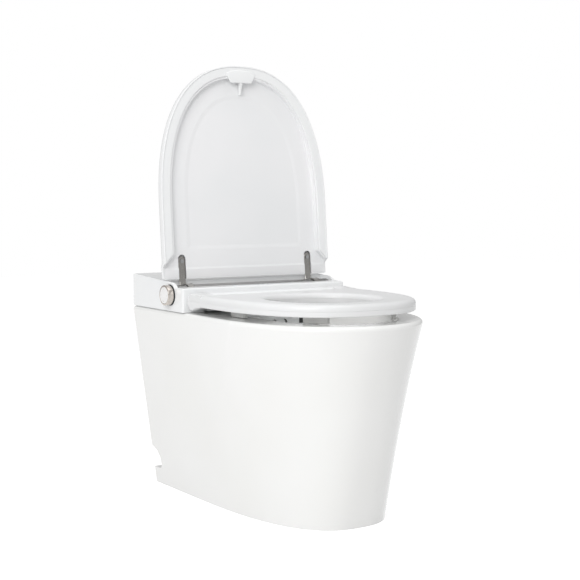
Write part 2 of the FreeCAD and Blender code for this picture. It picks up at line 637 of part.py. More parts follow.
def lid_hinge_stubs():
    """Hollow stub shafts fixed to the cheeks, carrying the tube's ends."""
    inner_end = TUBE_HALF_LENGTH - 16
    stub = rod_x(STUB_RADIUS, inner_end, TROUGH_HALF_LENGTH, HINGE_Y, HINGE_Z)
    collar = rod_x(STUB_RADIUS + 5, TROUGH_HALF_LENGTH - 2, TROUGH_HALF_LENGTH, HINGE_Y, HINGE_Z)
    hole = rod_x(STUB_BORE, inner_end - 1, TROUGH_HALF_LENGTH + 1, HINGE_Y, HINGE_Z)
    return both_sides(join([stub, collar]).cut(hole))


def lid_drive():
    """Damped gear motor on the right-hand stub, inside the tube."""
    end = TUBE_HALF_LENGTH - 16
    spigot = rod_x(STUB_BORE, end, end + 12, HINGE_Y, HINGE_Z)
    return join([rod_x(14, end - 92, end, HINGE_Y, HINGE_Z), spigot])


def lid_bracket():
    """Steel strap round the tube's front and over its top, with a tongue up into the lid."""
    x0, x1 = STRAP_X - STRAP_WIDTH / 2, STRAP_X + STRAP_WIDTH / 2
    outer = TUBE_RADIUS + STRAP_THICKNESS
    band = rod_x(outer, x0, x1, HINGE_Y, HINGE_Z).cut(rod_x(TUBE_RADIUS, x0, x1, HINGE_Y, HINGE_Z))
    low = LID_FIELD_Z + TONGUE_RECESS
    leave_dz = TUBE_RADIUS - 1.0
    leave_dy = math.sqrt(outer ** 2 - leave_dz ** 2)
    window = profile_x([(HINGE_Y + 1, HINGE_Z - outer - 1), (HINGE_Y + 1, HINGE_Z),
                        (HINGE_Y - leave_dy, HINGE_Z + leave_dz), (HINGE_Y - outer - 1, HINGE_Z + outer),
                        (HINGE_Y - outer - 1, HINGE_Z - outer - 1)], x0, x1)
    bend_y = HINGE_Y - TROUGH_RADIUS - 4
    neck = profile_x([(HINGE_Y - leave_dy, HINGE_Z + leave_dz), (bend_y, low + STRAP_THICKNESS),
                      (bend_y - 1, low + STRAP_THICKNESS), (bend_y - 1, low),
                      (HINGE_Y - leave_dy - 1, HINGE_Z + leave_dz - STRAP_THICKNESS)], x0, x1)
    tongue = box(x0, x1, HINGE_Y - SLOT_FAR + 3, bend_y - 0.5, low, low + STRAP_THICKNESS)
    tongue = fillet_where(tongue, STRAP_WIDTH / 2 - 0.1,
                          lambda e: e.BoundBox.ZLength > 1 and e.BoundBox.YMax < HINGE_Y - SLOT_NEAR)
    strap = join([band.common(window), neck, tongue])
    return strap.cut(strap_screw_hole())


def strap_screw_hole():
    return rod_z(2.2, STRAP_X, HINGE_Y - SLOT_FAR + 14, LID_FIELD_Z, LID_FIELD_Z + 12)


def lid_outline(inset, z):
    return d_wire(LID_WIDTH / 2 - inset, LID_REAR_Y - inset, LID_CURVE_START, LID_FRONT + inset,
                  LID_SQUARENESS, z)


def rear_relief():
    """What is cut from the closed lid's rim so that it passes over the housing's front wall."""
    low = LID_REAR_UNDERSIDE_Z
    start = HOUSING_FRONT - 16
    return profile_x([(start, LID_RIM_Z - 5), (start, LID_RIM_Z), (start + low - LID_RIM_Z, low),
                      (LID_REAR_Y + 5, low), (LID_REAR_Y + 5, LID_RIM_Z - 5)],
                     -LID_WIDTH / 2 - 1, LID_WIDTH / 2 + 1)


def lid_crown(inset):
    """The lid's outer form, thinner at the hinge edge."""
    block = prism(lid_outline(inset, LID_RIM_Z), LID_TOP_Z - LID_RIM_Z - inset)
    top = LID_TOP_Z - inset
    thin = LID_REAR_TOP_Z - inset
    wedge = profile_x([(LID_REAR_Y + 1, thin), (LID_REAR_Y - 26, top), (LID_REAR_Y - 26, top + 5),
                       (LID_REAR_Y + 1, top + 5)], -LID_WIDTH, LID_WIDTH)
    return block, wedge


def lid_shell():
    block, wedge = lid_crown(0)
    block = fillet_where(block, LID_TOP_ROUND,
                         lambda e: flat_at(LID_TOP_Z)(e) and e.BoundBox.YMin < HOUSING_FRONT - 20)
    hollow, inner_wedge = lid_crown(LID_WALL)
    low = LID_RIM_Z - 1
    bevel_room = Part.makeLoft([lid_outline(LID_WALL, low), lid_outline(LID_TOP_ROUND, LID_TOP_Z - LID_WALL)],
                               True, True)
    shell = block.cut(wedge).cut(bevel_room.cut(inner_wedge)).cut(rear_relief())
    slot = box(STRAP_X - SLOT_WIDTH / 2, STRAP_X + SLOT_WIDTH / 2, LID_REAR_Y - 20, LID_REAR_Y + 1,
               LID_RIM_Z, LID_FIELD_Z + TONGUE_RECESS + STRAP_THICKNESS + 0.5)
    shell = shell.cut(both_sides(slot))
    return join([shell] + bracket_posts().Solids)


def lid_liner():
    """Inner tray: bevelled border, flat field, a slot for each strap."""
    rim, field = LID_RIM_Z, LID_FIELD_Z
    edge = LID_WALL + LINER_GAP
    outer = Part.makeLoft([lid_outline(edge, rim), lid_outline(edge + LID_BEVEL - 2, field + LINER_THICKNESS)],
                          True, True)
    inner = Part.makeLoft([lid_outline(edge + 2.5, rim - 0.01), lid_outline(edge + LID_BEVEL, field)],
                          True, True)
    liner = outer.cut(inner).cut(rear_relief())
    half = SLOT_WIDTH / 2
    end_y = HINGE_Y - SLOT_FAR + half
    slot = join([box(STRAP_X - half, STRAP_X + half, end_y, HINGE_Y, field - 20, field + 20),
                 rod_z(half, STRAP_X, end_y, field - 20, field + 20)])
    return liner.cut(both_sides(slot))


def lid_grip_tab():
    """Finger tab inside the tip of the rim, narrower towards the field."""
    tip = LID_FRONT + GRIP_SETBACK
    wide, narrow = GRIP_WIDTH / 2, GRIP_WIDTH / 2 - 12
    points = [V(-narrow, tip + GRIP_DEPTH, 0), V(-wide, tip, 0), V(wide, tip, 0), V(narrow, tip + GRIP_DEPTH, 0)]
    face = Part.Face(Part.makePolygon(points + points[:1]))
    face.translate(V(0, 0, LID_RIM_Z))
    tab = face.extrude(V(0, 0, 4))
    outline = prism(lid_outline(LID_WALL + 4, LID_RIM_Z), 4)
    rib = profile_x([(tip + GRIP_DEPTH - 1, LID_RIM_Z + 1), (tip + GRIP_DEPTH - 1, LID_FIELD_Z - 0.1),
                     (tip + GRIP_DEPTH + 26, LID_FIELD_Z - 0.1)], -3.2, 3.2)
    return join([tab.common(outline), rib])


def bracket_screws():
    """Pan-head screws that hold each tongue to a post under the lid's crown."""
    x, y = STRAP_X, HINGE_Y - SLOT_FAR + 14
    top = LID_FIELD_Z + TONGUE_RECESS
    screw = join([rod_z(2.2, x, y, top - 1, top + 8), rod_z(4.2, x, y, top - 2, top)])
    return both_sides(screw)


def bracket_posts():
    x, y = STRAP_X, HINGE_Y - SLOT_FAR + 14
    bottom = LID_FIELD_Z + TONGUE_RECESS + STRAP_THICKNESS
    return both_sides(tube_z(6, 2.2, x, y, bottom, LID_TOP_Z - LID_WALL + 0.5))


# ---- control knob -----------------------------------------------------------------------------
def knob_bezel():
    x = -HALF_WIDTH
    disc = rod_x(KNOB_RADIUS + 1, x - 1, x, HINGE_Y, HINGE_Z)
    return disc.cut(rod_x(KNOB_SPINDLE_RADIUS + RUNNING_FIT, x - 2, x + 1, HINGE_Y, HINGE_Z))


def knob_ring():
    """Metal dial with a spindle through the cheek into the stub shaft."""
    back = -HALF_WIDTH - KNOB_GAP
    face = back - KNOB_DEPTH
    rim = rod_x(KNOB_RADIUS, face, back, HINGE_Y, HINGE_Z)
    rim = fillet_where(rim, 0.8, lambda e: abs(e.BoundBox.XMin - face) < 0.01 and e.BoundBox.XLength < 0.01)
    recess = rod_x(KNOB_CAP_RADIUS + 0.3, face - 1, face + 8, HINGE_Y, HINGE_Z)
    end = back + SPINDLE_LENGTH
    spindle = rod_x(KNOB_SPINDLE_RADIUS, back - 1, end, HINGE_Y, HINGE_Z)
    stem_bore = rod_x(KNOB_STEM_RADIUS + RUNNING_FIT, face, end + 1, HINGE_Y, HINGE_Z)
    return join([rim, spindle]).cut(recess).cut(stem_bore)


def knob_cap():
    """Push cap with its stem in the dial's bore; pressed, the stem meets the encoder's switch."""
    face = -HALF_WIDTH - KNOB_GAP - KNOB_DEPTH
    cap = rod_x(KNOB_CAP_RADIUS, face - 0.6, face + 4.5, HINGE_Y, HINGE_Z)
    cap = fillet_where(cap, 1.0, lambda e: abs(e.BoundBox.XMin - face + 0.6) < 0.01 and e.BoundBox.XLength < 0.01)
    stem_end = face + KNOB_DEPTH + SPINDLE_LENGTH - KNOB_PRESS
    stem = rod_x(KNOB_STEM_RADIUS, face + 4, stem_end, HINGE_Y, HINGE_Z)
    return join([cap, stem])


def knob_encoder():
    """Rotary encoder and push switch in the left-hand stub's bore, past the spindle."""
    start = -HALF_WIDTH - KNOB_GAP + SPINDLE_LENGTH + BRACKET_GAP
    return rod_x(STUB_BORE, start, -(TUBE_HALF_LENGTH - 16), HINGE_Y, HINGE_Z)


# ---- washing: nozzles, guides, water ----------------------------------------------------------
def slope_frame(shape, x):
    """Place a piece modelled along +Y from a nozzle's tip."""
    placed = shape.copy()
    placed.rotate(V(0, 0, 0), AXIS_X, NOZZLE_SLOPE)
    placed.translate(V(x, NOZZLE_TIP[0], NOZZLE_TIP[1]))
    return placed


def nozzle_rod(x, radius, start, end):
    return slope_frame(Part.makeCylinder(radius, end - start, V(0, start, 0), V(0, 1, 0)), x)


def nozzle(x, holes):
    wand = Part.makeCylinder(NOZZLE_RADIUS, NOZZLE_LENGTH, V(0, 0, 0), V(0, 1, 0))
    wand = fillet_where(wand, 3.0, lambda e: e.BoundBox.YMax < 0.01)
    wand = wand.cut(Part.makeCylinder(NOZZLE_RADIUS - NOZZLE_WALL, NOZZLE_LENGTH, V(0, 6, 0), V(0, 1, 0)))
    for i in range(holes):
        wand = wand.cut(rod_z(0.8, 0, 12 + 4 * i, 0, NOZZLE_RADIUS + 1))
    return slope_frame(wand, x)


def nozzle_guides():
    """Two bores in one moulding on the tub's floor."""
    start, end = 66.0, NOZZLE_LENGTH - 26
    block = box(-NOZZLE_X - 11, NOZZLE_X + 11, start, end, -9, 9)
    bores = [Part.makeCylinder(NOZZLE_RADIUS + RUNNING_FIT, end - start + 2, V(x, start - 1, 0), V(0, 1, 0))
             for x in (-NOZZLE_X, NOZZLE_X)]
    block = slope_frame(block.cut(Part.makeCompound(bores)), 0)
    stand = box(-10, 10, 176, 206, TUB_INSIDE_Z, 390)
    return join([block, stand.cut(slope_frame(box(-40, 40, 0, 300, -8.9, 60), 0))])


def nozzle_drives():
    """Gear motors on the guide's flanks."""
    body = slope_frame(Part.makeCylinder(11, 34, V(NOZZLE_X + 11 + 11, 92, 0), V(0, 1, 0)), 0)
    return both_sides(body)


def heater_tank():
    x0, x1 = -TUB_HALF_WIDTH + TUB_WALL + 4, -62
    tank = box(x0, x1, 186, 262, TUB_INSIDE_Z, TUB_INSIDE_Z + 54)
    return fillet_where(tank, 6.0, lambda e: e.BoundBox.ZLength > 40)


def water_pump():
    return join([rod_z(20, 40, 262, TUB_INSIDE_Z, TUB_INSIDE_Z + 34),
                 rod_x(5, 0, 30, 262, TUB_INSIDE_Z + 12)])


def solenoid_valve():
    body = box(-50, 0, 250, 274, TUB_INSIDE_Z, TUB_INSIDE_Z + 26)
    return join([body, rod_z(10, -36, 262, TUB_INSIDE_Z + 26, TUB_INSIDE_Z + 48)])


def floor_fitting(x, nut_depth):
    """Neck through the tub's floor between a shoulder below it and a nut above it."""
    neck = rod_z(FLOOR_HOLE_RADIUS - RUNNING_FIT, x, INLET_Y, TUB_FLOOR_Z - 1, TUB_INSIDE_Z + 1)
    shoulder = rod_z(SHOULDER_RADIUS, x, INLET_Y, TUB_FLOOR_Z - SHOULDER_DEPTH, TUB_FLOOR_Z)
    nut = rod_z(SHOULDER_RADIUS, x, INLET_Y, TUB_INSIDE_Z, TUB_INSIDE_Z + nut_depth)
    return join([neck, shoulder, nut])


def water_inlet():
    """G 1/2 male connector under the tub's floor, in the pan's hollow."""
    end = TUB_FLOOR_Z - SHOULDER_DEPTH - THREAD_LENGTH
    thread = rod_z(INLET_RADIUS, INLET_X, INLET_Y, end, TUB_FLOOR_Z - 1)
    bore = rod_z(6, INLET_X, INLET_Y, end - 1, TUB_INSIDE_Z + 2)
    return join([floor_fitting(INLET_X, 8), thread]).cut(bore)


def power_gland():
    """Cable gland beside the water connector."""
    end = TUB_FLOOR_Z - 14
    dome = rod_z(INLET_RADIUS, GLAND_X, INLET_Y, end, TUB_FLOOR_Z - 1)
    return join([floor_fitting(GLAND_X, 6), dome]).cut(rod_z(4, GLAND_X, INLET_Y, end - 1, TUB_INSIDE_Z + 7))


# ---- air: blower, dryer, deodoriser -----------------------------------------------------------
def blower_casing():
    z0, z1 = BLOWER_Z, BLOWER_Z + BLOWER_HEIGHT
    case = join([rod_z(BLOWER_RADIUS, BLOWER_X, BLOWER_Y, z0, z1),
                 box(BLOWER_X - 60, BLOWER_X, BLOWER_Y - BLOWER_RADIUS, BLOWER_Y - 10, z0, z1)])
    room = join([rod_z(BLOWER_RADIUS - 2, BLOWER_X, BLOWER_Y, z0 + 2, z1 - 2),
                 box(BLOWER_X - 61, BLOWER_X, BLOWER_Y - BLOWER_RADIUS + 2, BLOWER_Y - 12, z0 + 2, z1 - 2)])
    feet = box(BLOWER_X - 20, BLOWER_X + 20, BLOWER_Y - 20, BLOWER_Y + 20, TUB_INSIDE_Z, z0)
    eye = rod_z(16, BLOWER_X, BLOWER_Y, z1 - 3, z1 + 1)
    return join([case.cut(room).cut(eye), feet.cut(rod_z(13, BLOWER_X, BLOWER_Y, 0, 500))])


def blower_motor():
    z = BLOWER_Z + 2
    return join([rod_z(12, BLOWER_X, BLOWER_Y, z, z + 8), rod_z(1.5, BLOWER_X, BLOWER_Y, z, z + 24)])


def blower_impeller():
    """Cage rotor on the motor's spindle."""
    z0, z1 = BLOWER_Z + 11, BLOWER_Z + BLOWER_HEIGHT - 4
    disc = rod_z(28, BLOWER_X, BLOWER_Y, z0, z0 + 2)
    blades = []
    for i in range(24):
        blade = box(BLOWER_X + 20, BLOWER_X + 27, BLOWER_Y - 0.6, BLOWER_Y + 0.6, z0, z1)
        blade.rotate(V(BLOWER_X, BLOWER_Y, 0), AXIS_Z, 15.0 * i)
        blades.append(blade)
    hub = rod_z(4, BLOWER_X, BLOWER_Y, z0, z0 + 10)
    rim = tube_z(28, 26, BLOWER_X, BLOWER_Y, z1 - 1.5, z1)
    rotor = join([disc, hub, rim] + blades)
    return rotor.cut(rod_z(1.5 + RUNNING_FIT, BLOWER_X, BLOWER_Y, z0 - 1, z1))


def dryer_duct():
    """Hollow duct from the tub to the outlet in the nose."""
    x0, x1 = DRYER_X - DRYER_WIDTH / 2, DRYER_X + DRYER_WIDTH / 2
    outer = box(x0, x1, BAY_NOSE_FRONT + TUB_WALL + 0.3, 176, DRYER_BOTTOM_Z, DRYER_TOP_Z)
    inner = box(x0 + 1.5, x1 - 1.5, BAY_NOSE_FRONT, 174, DRYER_BOTTOM_Z + 1.5, DRYER_TOP_Z - 1.5)
    return outer.cut(inner)


def dryer_flap():
    """Outlet flap on a top pin, closing the opening in the nose's front wall."""
    x0, x1 = DRYER_X - DRYER_WIDTH / 2 + 0.5, DRYER_X + DRYER_WIDTH / 2 - 0.5
    y = BAY_NOSE_FRONT + 1.2
    plate = box(x0, x1, y - 0.9, y + 0.9, DRYER_BOTTOM_Z + 0.6, DRYER_TOP_Z - 1.6)
    return join([plate, rod_x(1.2, x0, x1, y, DRYER_TOP_Z - 1.6)])


def deodoriser():
    return box(INTAKE_X - 20, INTAKE_X + 16, BAY_NOSE_FRONT + TUB_WALL + 1, 104,
               BAY_NOSE_FLOOR_Z + TUB_WALL, DRYER_TOP_Z)


def control_board():
    """Main board under the housing's rear top."""
    top = BOARD_Z + BOARD_THICKNESS
    board = box(-BOARD_HALF_WIDTH, BOARD_HALF_WIDTH, BOARD_FRONT, BOARD_REAR, BOARD_Z, top)
    parts = [box(-100, -70, 220, 250, top, top + 8), box(-40, -20, 230, 244, top, top + 5),
             box(20, 60, 210, 236, top, top + 7), box(80, 104, 244, 280, top, top + 8)]
    return join([board] + parts)


def transformer():
    return box(-56, -14, 200, 246, TUB_INSIDE_Z, TUB_INSIDE_Z + 36)


PIECES = {
    "ceramic_pan": ceramic_pan, "outlet_seal": outlet_seal, "floor_brackets": floor_brackets,
    "deck_gasket": deck_gasket, "base_tub": base_tub,
    "flange_bolts": flange_bolts, "flange_nuts": flange_nuts, "rear_housing": rear_housing,
    "housing_screws": housing_screws, "front_panel": front_panel,
    "indicator_lenses": indicator_lenses, "seat_hinge_barrel": seat_hinge_barrel,
    "seat_drive": seat_drive, "seat_hinge_pins": seat_hinge_pins, "seat_top_shell": seat_top_shell,
    "seat_bottom_shell": seat_bottom_shell, "seat_heater": seat_heater, "seat_bumpers": seat_bumpers,
    "lid_hinge_stubs": lid_hinge_stubs, "lid_drive": lid_drive, "knob_bezel": knob_bezel,
    "knob_ring": knob_ring, "knob_cap": knob_cap, "knob_encoder": knob_encoder,
    "rear_nozzle": lambda: nozzle(-NOZZLE_X, 1), "front_nozzle": lambda: nozzle(NOZZLE_X, 3),
    "nozzle_guides": nozzle_guides, "nozzle_drives": nozzle_drives, "heater_tank": heater_tank,
    "water_pump": water_pump, "solenoid_valve": solenoid_valve, "water_inlet": water_inlet,
    "power_gland": power_gland, "blower_casing": blower_casing, "blower_motor": blower_motor,
    "blower_impeller": blower_impeller, "dryer_duct": dryer_duct, "dryer_flap": dryer_flap,
    "deodoriser": deodoriser, "control_board": control_board, "transformer": transformer,
}
LID_PIECES = {
    "hinge_tube": hinge_tube, "lid_brackets": lambda: both_sides(lid_bracket()),
    "lid_shell": lid_shell, "lid_liner": lid_liner, "lid_grip_tab": lid_grip_tab,
    "bracket_screws": bracket_screws,
}

os.makedirs("parts", exist_ok=True)
for name, make in PIECES.items():
    save(name, make())
for name, make in LID_PIECES.items():
    save(name, open_lid(make()))
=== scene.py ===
"""Looks of the bidet toilet: glazed pan, gloss-moulded seat unit, ring and lid, chromed hinge tube."""
import json
import math
import bmesh
import bpy
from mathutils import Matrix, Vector
from mathutils.kdtree import KDTree


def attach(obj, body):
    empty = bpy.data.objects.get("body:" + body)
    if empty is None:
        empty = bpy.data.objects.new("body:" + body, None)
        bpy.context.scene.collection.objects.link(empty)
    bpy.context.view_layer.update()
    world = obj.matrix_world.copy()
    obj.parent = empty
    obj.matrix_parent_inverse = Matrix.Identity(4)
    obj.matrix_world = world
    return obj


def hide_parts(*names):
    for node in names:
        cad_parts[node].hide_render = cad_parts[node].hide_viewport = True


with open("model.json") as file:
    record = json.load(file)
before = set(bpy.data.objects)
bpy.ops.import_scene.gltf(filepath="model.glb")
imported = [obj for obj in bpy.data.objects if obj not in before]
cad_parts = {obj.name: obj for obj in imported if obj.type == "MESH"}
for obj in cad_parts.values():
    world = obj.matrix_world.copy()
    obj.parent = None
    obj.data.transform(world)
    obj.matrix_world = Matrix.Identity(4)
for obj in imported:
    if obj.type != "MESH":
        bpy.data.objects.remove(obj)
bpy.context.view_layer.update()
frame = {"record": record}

MM = 0.001


# ---- colour and node helpers ------------------------------------------------------------------
def linear(hex_colour):
    """sRGB hex to a linear RGBA value."""
    channels = [int(hex_colour[i:i + 2], 16) / 255 for i in (0, 2, 4)]
    return [c / 12.92 if c <= 0.04045 else ((c + 0.055) / 1.055) ** 2.4 for c in channels] + [1.0]


def add_node(tree, kind, settings=None, links=None):
    """Add a node, set its properties and sockets, and link sockets from (node, output) pairs."""
    node = tree.nodes.new(kind)
    for key, value in (settings or {}).items():
        if isinstance(key, str) and hasattr(node, key) and key not in node.inputs:
            setattr(node, key, value)
        else:
            node.inputs[key].default_value = value
    for key, (source, output) in (links or {}).items():
        tree.links.new(source.outputs[output], node.inputs[key])
    return node


def blank_material(name):
    material = bpy.data.materials.new(name)
    material.use_nodes = True
    material.node_tree.nodes.clear()
    return material, material.node_tree


def finish_material(tree, shader):
    add_node(tree, "ShaderNodeOutputMaterial", {}, {"Surface": (shader, 0)})


def surface(name, dark, light, roughness, grain_mm, bump_mm, metallic=0.0, coat=0.0,
            rough_swing=0.04, stretch=(1, 1, 1), tone_mm=90.0, transmission=0.0, bump_strength=0.25):
    """One finish: two close tones that drift over tone_mm, and a grain that carries the bump."""
    material, tree = blank_material(name)
    place = add_node(tree, "ShaderNodeTexCoord")
    tone_space = add_node(tree, "ShaderNodeMapping", {}, {"Vector": (place, "Object")})
    drift = add_node(tree, "ShaderNodeTexNoise", {"Scale": 1 / (tone_mm * MM), "Detail": 2.0},
                     {"Vector": (tone_space, 0)})
    colour = add_node(tree, "ShaderNodeValToRGB", {}, {"Fac": (drift, "Fac")})
    colour.color_ramp.elements[0].position = 0.35
    colour.color_ramp.elements[0].color = linear(dark)
    colour.color_ramp.elements[1].position = 0.65
    colour.color_ramp.elements[1].color = linear(light)
    grain_space = add_node(tree, "ShaderNodeMapping", {"Scale": stretch}, {"Vector": (place, "Object")})
    grain = add_node(tree, "ShaderNodeTexNoise", {"Scale": 1 / (grain_mm * MM), "Detail": 3.0},
                     {"Vector": (grain_space, 0)})
    rough = add_node(tree, "ShaderNodeMapRange",
                     {"To Min": max(roughness - rough_swing, 0.02), "To Max": roughness + rough_swing},
                     {"Value": (grain, "Fac")})
    bump = add_node(tree, "ShaderNodeBump", {"Distance": bump_mm * MM, "Strength": bump_strength},
                    {"Height": (grain, "Fac")})
    settings = {"Metallic": metallic, "Coat Weight": coat, "Coat Roughness": 0.05,
                "Transmission Weight": transmission}
    shader = add_node(tree, "ShaderNodeBsdfPrincipled", settings,
                      {"Base Color": (colour, "Color"), "Roughness": (rough, "Result"),
                       "Normal": (bump, "Normal")})
    finish_material(tree, shader)
    return material


# ---- materials --------------------------------------------------------------------------------
def make_materials():
    made = {}
    # Vitreous china, sprayed and fired glaze: glassy, a slow ripple, a faint warm drift.
    made["vitreous_china"] = surface("glazed_vitreous_china", "F6F6F4", "F9F9F8", 0.12, 38, 0.5,
                                     coat=0.6, tone_mm=260, bump_strength=0.06)
    # ABS, moulded against a polished tool: even gloss, the slightest ripple.
    made["white_abs"] = surface("moulded_gloss_abs", "F4F5F6", "F7F8F8", 0.2, 24, 0.3,
                                coat=0.2, tone_mm=180, bump_strength=0.05)
    # Polypropylene ring, moulded semi-gloss: softer highlights than the lid.
    made["seat_pp"] = surface("moulded_polypropylene", "E9EAEA", "EEEEEF", 0.34, 20, 0.3,
                              coat=0.15, tone_mm=180, bump_strength=0.05)
    # Chassis in unpainted ABS, lightly spark-eroded tool: fine matte grain.
    made["chassis_plastic"] = surface("grained_white_abs", "EBEDEE", "F0F1F2", 0.42, 1.2, 0.08)
    # Inner mouldings, glass-filled nylon: dark, dull.
    made["inner_plastic"] = surface("glass_filled_nylon", "3A3C3E", "484A4C", 0.55, 1.5, 0.1)
    # Steel tube, satin chromed: grey metal with soft long reflections; its base is set darker than
    # chrome's, as painted shade of the dark trough round the tube.
    made["chrome_tube"] = surface("satin_chrome_painted_dark", "8B8A89", "A09F9E", 0.24, 6, 0.05, metallic=1.0,
                                  rough_swing=0.03, stretch=(0.05, 1, 1), bump_strength=0.05)
    # Stamped stainless strap, brushed along its length.
    made["satin_steel"] = surface("brushed_stainless_strap", "A3A19E", "B4B2AE", 0.26, 0.8, 0.03,
                                  metallic=1.0, stretch=(1, 0.05, 0.05), bump_strength=0.2)
    # Turned stainless pins and screws.
    made["stainless"] = surface("turned_stainless", "B4B5B6", "C4C5C6", 0.26, 0.8, 0.03, metallic=1.0)
    # Thermoplastic elastomer pads: milky, soft.
    made["soft_rubber"] = surface("milky_elastomer", "EBEBE9", "F0F0EE", 0.5, 0.8, 0.05)
    # Black EPDM seal; the ring at the dial's base is black partly as painted shade of the gap round the
    # dial.
    made["black_rubber"] = surface("moulded_epdm_painted_gap_shade", "1E1E1E", "282828", 0.65, 0.8, 0.06)
    # Dial rim: turned aluminium, champagne anodised, fine lathe lines.
    made["knob_metal"] = surface("champagne_anodised_dial", "C9C1BA", "DAD3CC", 0.25, 0.6, 0.02,
                                 metallic=1.0, stretch=(1, 0.1, 0.1))
    # Clear acrylic light guides.
    made["lens"] = surface("clear_acrylic", "F2F6FA", "FAFCFF", 0.08, 5, 0.02, transmission=0.6)
    # Display strip, back-painted acrylic.
    made["panel_gloss"] = surface("back_painted_acrylic", "DFE3E6", "E6E9EC", 0.1, 20, 0.05, coat=0.5)
    # Nickel-plated brass connector.
    made["brass_plated"] = surface("nickel_plated_brass", "BDB9AC", "CCC9BE", 0.25, 2, 0.03, metallic=1.0)
    # Glass-epoxy board under green solder mask.
    made["circuit"] = surface("green_solder_mask", "1D4A2B", "27603A", 0.35, 3, 0.05)
    # Aluminium foil heater.
    made["foil"] = surface("laminated_foil", "BFC1C3", "CDCFD1", 0.35, 4, 0.1, metallic=1.0)
    # Lid's inner moulding: the same ABS from a satin tool, a shade cooler and darker; the darker tone is
    # partly painted shade of the recessed field.
    made["tray_abs"] = surface("moulded_satin_abs_painted_shade", "F1F2F3", "F5F5F6", 0.34, 22, 0.25,
                               coat=0.1, tone_mm=220, bump_strength=0.05)
    # Push cap: white acrylic under a clear hard coat.
    made["cap_gloss"] = surface("hard_coated_acrylic", "F0EFEE", "F5F4F3", 0.1, 20, 0.04, coat=0.8,
                                bump_strength=0.04)
    # Pad-printed dots in grey ink.
    made["mark_grey"] = surface("grey_printing_ink", "A9A5A3", "B7B3B1", 0.4, 1.0, 0.02)
    return made


SLOTS = {entry["node"]: entry["material_slot"] for entry in frame["record"]["subparts"]}


def dress_cad_nodes():
    """Give each CAD node the material of its slot."""
    for name, slot in SLOTS.items():
        node = bpy.data.objects[name]
        node.data.materials.clear()
        node.data.materials.append(materials[slot])


# ---- shaping tools ----------------------------------------------------------------------------
def clear_selection():
    bpy.ops.object.select_all(action="DESELECT")


def rounded(corners, steps=5):
    """Turn (across, height, radius) corners of a section into points, with an arc at each corner."""
    points = []
    for index, (across, height, radius) in enumerate(corners):
        if radius == 0 or index in (0, len(corners) - 1):
            points.append((across, height))
            continue
        here = Vector((across, height))
        back = (Vector(corners[index - 1][:2]) - here).normalized()
        ahead = (Vector(corners[index + 1][:2]) - here).normalized()
        half = back.angle(ahead) / 2
        centre = here + (back + ahead).normalized() * (radius / math.sin(half))
        first = here + back * (radius / math.tan(half)) - centre
        last = here + ahead * (radius / math.tan(half)) - centre
        start = math.atan2(first.y, first.x)
        sweep = math.atan2(first.cross(last), first.dot(last))
        for step in range(steps + 1):
            turn = start + sweep * step / steps
            points.append((centre.x + radius * math.cos(turn), centre.y + radius * math.sin(turn)))
    return points


def arc(centre, radius, degrees):
    """Points round a centre, one for each angle."""
    return [(centre[0] + radius * math.cos(math.radians(a)), centre[1] + radius * math.sin(math.radians(a)))
            for a in degrees]


def d_outline(half_width, rear, start, front, squareness, corner, stations=(0.15, 0.3, 0.45, 0.6, 0.8)):
    """Plan of a D from its rear centre round to its tip and back: flat rear, straight sides."""
    straight = half_width - corner
    half = [(straight * i / 8, rear) for i in range(8)]
    side = rear - corner
    half += [(straight + corner * math.sin(math.pi / 12 * i), side + corner * math.cos(math.pi / 12 * i))
             for i in range(6)]
    half += [(half_width, side + (start - side) * share) for share in (0,) + stations]
    for i in range(36):
        turn = math.pi / 2 * i / 36
        half.append((half_width * math.cos(turn) ** (2 / squareness),
                     start - (start - front) * math.sin(turn) ** (2 / squareness)))
    half.append((0, front))
    return half + [(-x, y) for x, y in reversed(half[1:-1])]


def move_ring(mesh, before, after):
    """Move each selected point from its place on one ring to the same place on the next."""
    finder = KDTree(len(before))
    for index, place in enumerate(before):
        finder.insert(place, index)
    finder.balance()
    for vertex in mesh.verts:
        if vertex.select:
            vertex.co = after[finder.find(vertex.co)[1]]


def loft(name, rings, closed=False, smooth=35):
    """Lay a circle on the first ring, extrude it from ring to ring, then close both ends."""
    clear_selection()
    bpy.ops.mesh.primitive_circle_add(vertices=len(rings[0]), radius=1)
    piece = bpy.context.object
    piece.name = name
    rings = [[Vector(place) * MM for place in ring] for ring in rings]
    for vertex, place in zip(piece.data.vertices, rings[0]):
        vertex.co = place
    bpy.ops.object.mode_set(mode="EDIT")
    for before, after in zip(rings, rings[1:]):
        bpy.ops.mesh.extrude_region_move()
        mesh = bmesh.from_edit_mesh(piece.data)
        move_ring(mesh, before, after)
        bmesh.update_edit_mesh(piece.data)
    bpy.ops.mesh.select_mode(type="EDGE")
    bpy.ops.mesh.select_all(action="DESELECT")
    bpy.ops.mesh.select_non_manifold(extend=False)
    if closed:
        bpy.ops.mesh.bridge_edge_loops()
    else:
        bpy.ops.mesh.fill_holes(sides=0)
    bpy.ops.mesh.select_all(action="SELECT")
    bpy.ops.mesh.normals_make_consistent(inside=False)
    bpy.ops.object.mode_set(mode="OBJECT")
    smooth_edges(piece, smooth)
    return piece


def smooth_edges(piece, degrees):
    """Shade the piece smooth, with creases kept where faces meet at more than the angle."""
    clear_selection()
    piece.select_set(True)
    bpy.context.view_layer.objects.active = piece
    bpy.ops.object.shade_smooth_by_angle(angle=math.radians(degrees))


def boolean(piece, other, operation, smooth=35):
    """Cut the other solid out of the piece, or join it on."""
    clear_selection()
    bpy.context.view_layer.objects.active = piece
    modifier = piece.modifiers.new(operation, "BOOLEAN")
    modifier.object = other
    modifier.operation = operation
    modifier.solver = "EXACT"
    modifier.use_self = True
    bpy.ops.object.modifier_apply(modifier=operation)
    bpy.data.objects.remove(other, do_unlink=True)
    smooth_edges(piece, smooth)


def settle(piece, body, finish, *nodes):
    """Give the piece its finish, its body and the nodes that it stands for."""
    piece.data.materials.clear()
    piece.data.materials.append(materials[finish])
    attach(piece, body)
    if nodes:
        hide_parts(*nodes)


